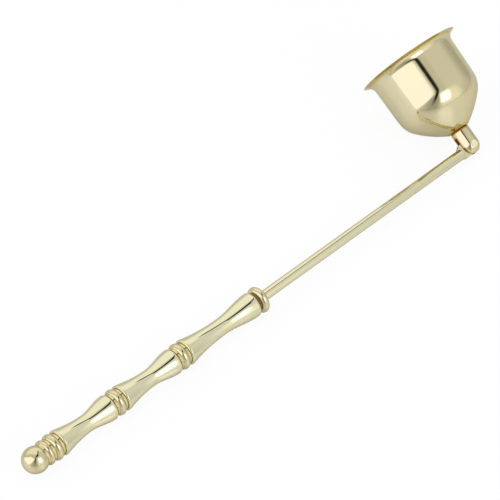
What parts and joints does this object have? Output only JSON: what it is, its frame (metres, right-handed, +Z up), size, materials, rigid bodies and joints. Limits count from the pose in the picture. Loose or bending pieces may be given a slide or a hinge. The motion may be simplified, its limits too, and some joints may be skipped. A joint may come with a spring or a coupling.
{
  "type": "candle snuffer",
  "caption": "Polished pale gold candle snuffer: a flared bell on a slotted hinge at the end of a slim rod, with a handle of turned hourglass grips, beads and a ball end.",
  "frame": {"origin": "middle of the underside of the box round the snuffer as it lies on a table on the beads of its handle and the shoulder of its bell", "axes": "+X along the rod from the ball end to the hinge, +Z up from the table, +Y to the side that the mouth of the bell faces, tipped up"},
  "size_m": [0.2494, 0.0512, 0.0431],
  "materials": {
    "bell_gold": "polished pale gold plate, mirror bright outside",
    "hinge_gold": "polished pale gold plate",
    "pin_gold": "polished pale gold plate, flat ends",
    "screw_gold": "pale gold plate, duller than the outside",
    "rod_gold": "polished pale gold plate on drawn rod",
    "ring_gold": "polished pale gold plate, darker in the recesses",
    "grip_gold": "polished pale gold plate on turned grips"
  },
  "bodies": {
    "handle": {"rod": "rod_gold", "collar": "ring_gold", "upper_grip": "grip_gold", "upper_ring": "ring_gold", "middle_grip": "grip_gold", "lower_ring": "ring_gold", "lower_grip": "grip_gold", "end_ring": "ring_gold", "finial_ring": "ring_gold", "finial_ball": "ring_gold"},
    "bell": {"bell_cup": "bell_gold", "hinge_barrel": "hinge_gold", "hinge_pin": "pin_gold", "bell_screw": "screw_gold"}
  },
  "joints": [
    {"name": "bell_hinge", "type": "hinge", "parent": "handle", "child": "bell", "pos_m": [0.10181, -0.02005, 0.00542], "axis": [0, -0.479, 0.8778], "range_deg": [-200, 31]}
  ]
}
